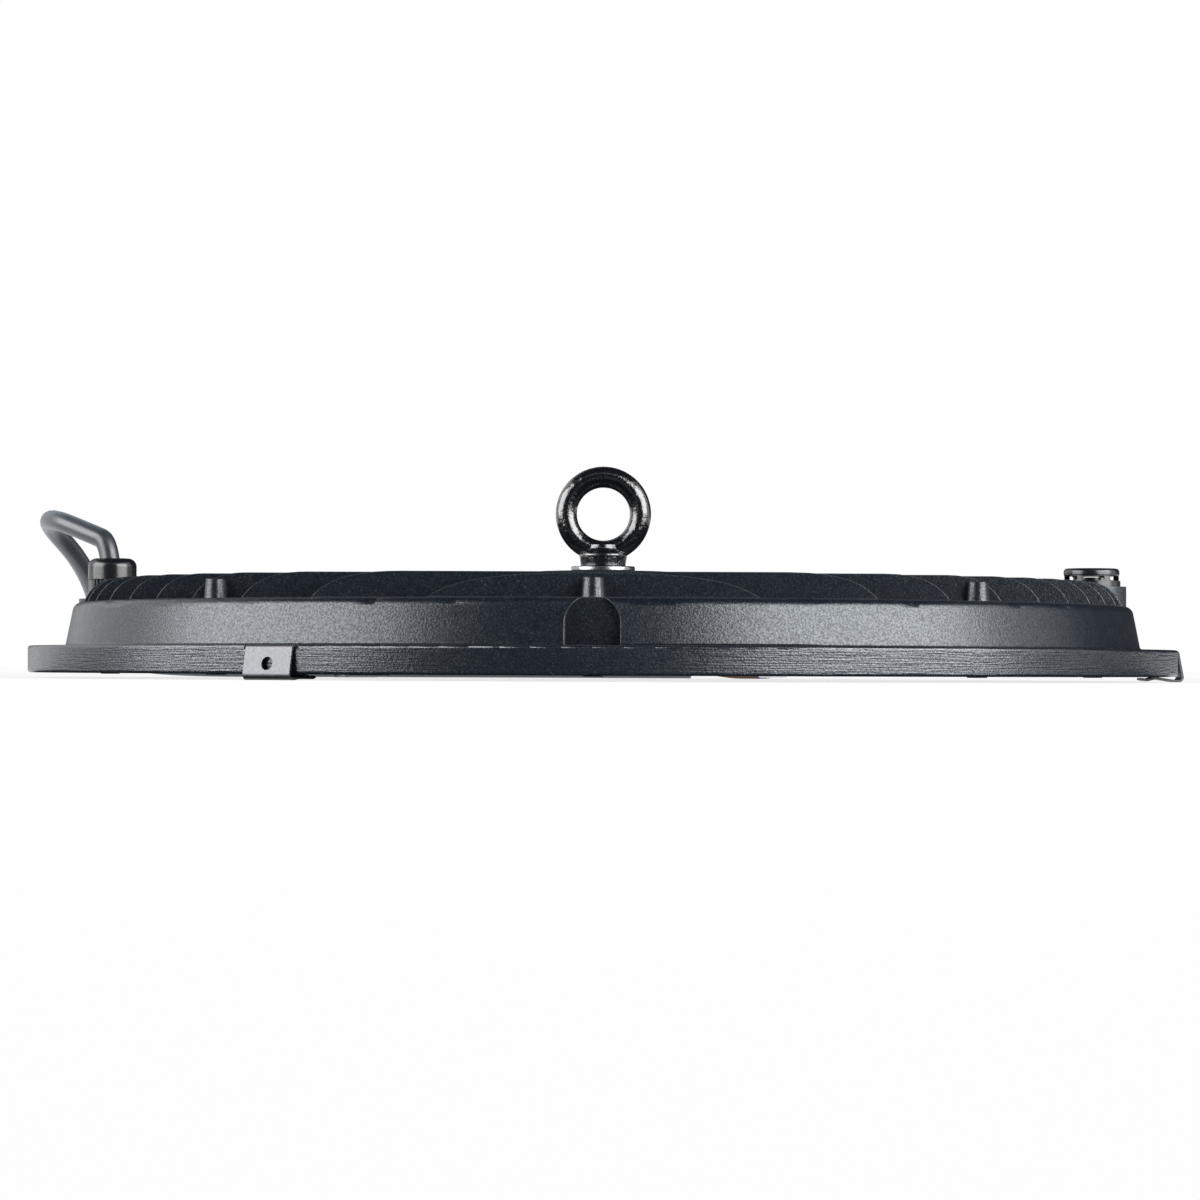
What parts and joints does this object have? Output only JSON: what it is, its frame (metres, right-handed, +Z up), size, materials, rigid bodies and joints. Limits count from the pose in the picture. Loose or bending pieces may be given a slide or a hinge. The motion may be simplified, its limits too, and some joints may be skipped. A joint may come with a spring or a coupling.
{
  "type": "high bay light",
  "caption": "Slim disc-shaped LED high bay light with a finned cast body, hanging eye bolt, cable lead, vent plug and three reflector clips.",
  "frame": {"origin": "on the lamp's axis, on the surface that the three clips rest on", "axes": "+Z up through the eye bolt; -Y is the front; +X towards the vent plug, with the cable gland at -X"},
  "size_m": [0.4363, 0.466, 0.0805],
  "materials": {
    "black_powder_coat": "fine-textured matt dark blue-grey paint on die-cast aluminium",
    "black_gloss_paint": "gloss black paint on forged steel",
    "zinc_plate": "bright zinc plate",
    "spring_steel": "stamped stainless spring steel",
    "black_plastic": "glossy black nylon",
    "black_rubber": "matt black rubber",
    "brown_insulation": "brown core insulation",
    "blue_insulation": "blue core insulation",
    "green_yellow_insulation": "green core insulation with a yellow stripe",
    "tinned_copper": "tin plate",
    "clear_polycarbonate": "clear moulded polycarbonate",
    "grey_silicone": "soft grey silicone",
    "graphite_pad": "soft grey thermal pad",
    "white_solder_mask": "aluminium board with white solder mask",
    "led_phosphor": "yellow phosphor over a white frame",
    "black_epoxy": "black moulded epoxy",
    "green_board": "glass-epoxy board with green mask",
    "green_plastic": "green moulded plastic",
    "white_ceramic": "white ceramic body with metal caps",
    "blue_epoxy": "blue dipped epoxy",
    "red_insulation": "red wire insulation",
    "black_insulation": "black wire insulation",
    "white_membrane": "white breathing membrane"
  },
  "bodies": {
    "root": {"housing": "black_powder_coat", "eye_bolt": "black_gloss_paint", "eye_bolt_washer": "zinc_plate", "reflector_clip_front_left": "spring_steel", "reflector_clip_right": "spring_steel", "reflector_clip_rear_left": "spring_steel", "gland_body": "black_plastic", "gland_o_ring": "black_rubber", "gland_seal": "black_rubber", "gland_nut": "black_plastic", "power_cable": "black_rubber", "core_brown": "brown_insulation", "core_blue": "blue_insulation", "core_green_yellow": "green_yellow_insulation", "core_ferrules": "tinned_copper", "inlet_core_brown": "brown_insulation", "inlet_core_blue": "blue_insulation", "inlet_core_green_yellow": "green_yellow_insulation", "earth_lug": "tinned_copper", "earth_screw": "zinc_plate", "vent_body": "black_plastic", "vent_o_ring": "black_rubber", "vent_membrane": "white_membrane", "vent_cap": "black_plastic", "lens": "clear_polycarbonate", "lens_gasket": "grey_silicone", "lens_screws": "spring_steel", "lens_screw_seals": "black_rubber", "thermal_pad": "graphite_pad", "led_board": "white_solder_mask", "leds": "led_phosphor", "led_board_screws": "zinc_plate", "driver_ics": "black_epoxy", "input_board": "green_board", "input_board_screws": "zinc_plate", "terminal_block": "green_plastic", "fuse": "white_ceramic", "surge_varistor": "blue_epoxy", "bridge_rectifier": "black_epoxy", "wire_led_positive": "red_insulation", "wire_led_negative": "black_insulation"}
  },
  "joints": []
}
